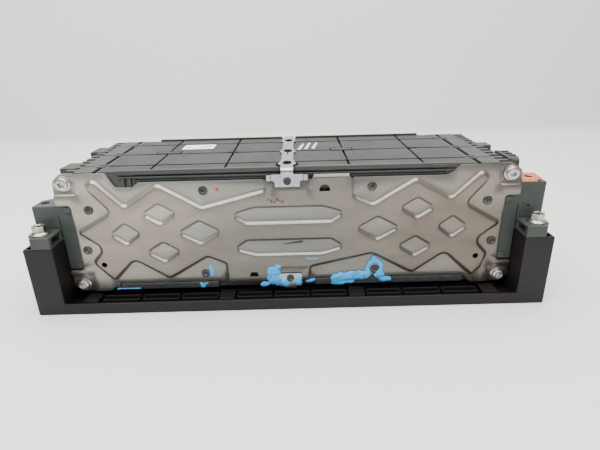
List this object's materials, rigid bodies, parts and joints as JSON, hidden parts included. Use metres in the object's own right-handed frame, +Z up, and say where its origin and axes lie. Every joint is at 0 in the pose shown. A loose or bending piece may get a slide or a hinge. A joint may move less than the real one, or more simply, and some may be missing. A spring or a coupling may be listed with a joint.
{
  "type": "battery module",
  "caption": "Prismatic battery module: flat cells clamped between truss-pressed steel end plates, bolted by plastic ears onto a U-shaped black cradle with hollow towers.",
  "frame": {"origin": "on the surface the cradle stands on, under the middle of the cradle", "axes": "+X along the cradle's length towards the copper terminals, +Y from the front plate through the stack of cells to the rear, +Z up"},
  "size_m": [0.45, 0.177, 0.1255],
  "materials": {
    "cradle_plastic": "matt, fine grained",
    "frame_plastic": "satin",
    "housing_plastic": "satin, fine grained",
    "plate_steel": "dull pressed steel",
    "strap_steel": "zinc plated",
    "plated_steel": "bright zinc plated",
    "dark_rivet": "blackened",
    "copper": "bare copper",
    "brass_insert": "knurled brass",
    "bare_aluminium": "mill finish",
    "cell_film": "laminated foil",
    "foam": "soft foam",
    "thermal_paste": "soft, blue",
    "circuit_board": "solder mask",
    "ribbon_film": "amber film",
    "label_film": "blank white"
  },
  "bodies": {
    "root": {"aluminium_tabs": "bare_aluminium", "bottom_strap": "strap_steel", "cell_01": "cell_film", "cell_02": "cell_film", "cell_03": "cell_film", "cell_04": "cell_film", "cell_05": "cell_film", "cell_06": "cell_film", "cell_07": "cell_film", "cell_08": "cell_film", "cell_09": "cell_film", "cell_10": "cell_film", "cell_11": "cell_film", "cell_12": "cell_film", "cell_frame_1": "frame_plastic", "cell_frame_2": "frame_plastic", "cell_frame_3": "frame_plastic", "cell_frame_4": "frame_plastic", "cooling_fins": "bare_aluminium", "copper_tabs": "copper", "cradle_inserts": "brass_insert", "cradle_tray": "cradle_plastic", "deck_label": "label_film", "ear_bolts": "plated_steel", "ear_bushes": "plated_steel", "foam_pads": "foam", "front_end_plate": "plate_steel", "front_insulator": "frame_plastic", "front_plate_rivets": "dark_rivet", "left_busbars": "copper", "left_end_housing": "housing_plastic", "negative_terminal": "copper", "positive_terminal": "copper", "rear_end_plate": "plate_steel", "rear_insulator": "frame_plastic", "rear_plate_rivets": "dark_rivet", "right_busbars": "copper", "right_end_housing": "housing_plastic", "sense_board_left": "circuit_board", "sense_board_right": "circuit_board", "sense_ribbon": "ribbon_film", "signal_connector": "frame_plastic", "strap_rivets": "plated_steel", "temperature_sensors": "ribbon_film", "terminal_nuts": "plated_steel", "thermal_pad": "thermal_paste", "tie_bolts": "plated_steel", "tie_nuts": "plated_steel", "top_strap": "strap_steel"}
  },
  "joints": []
}
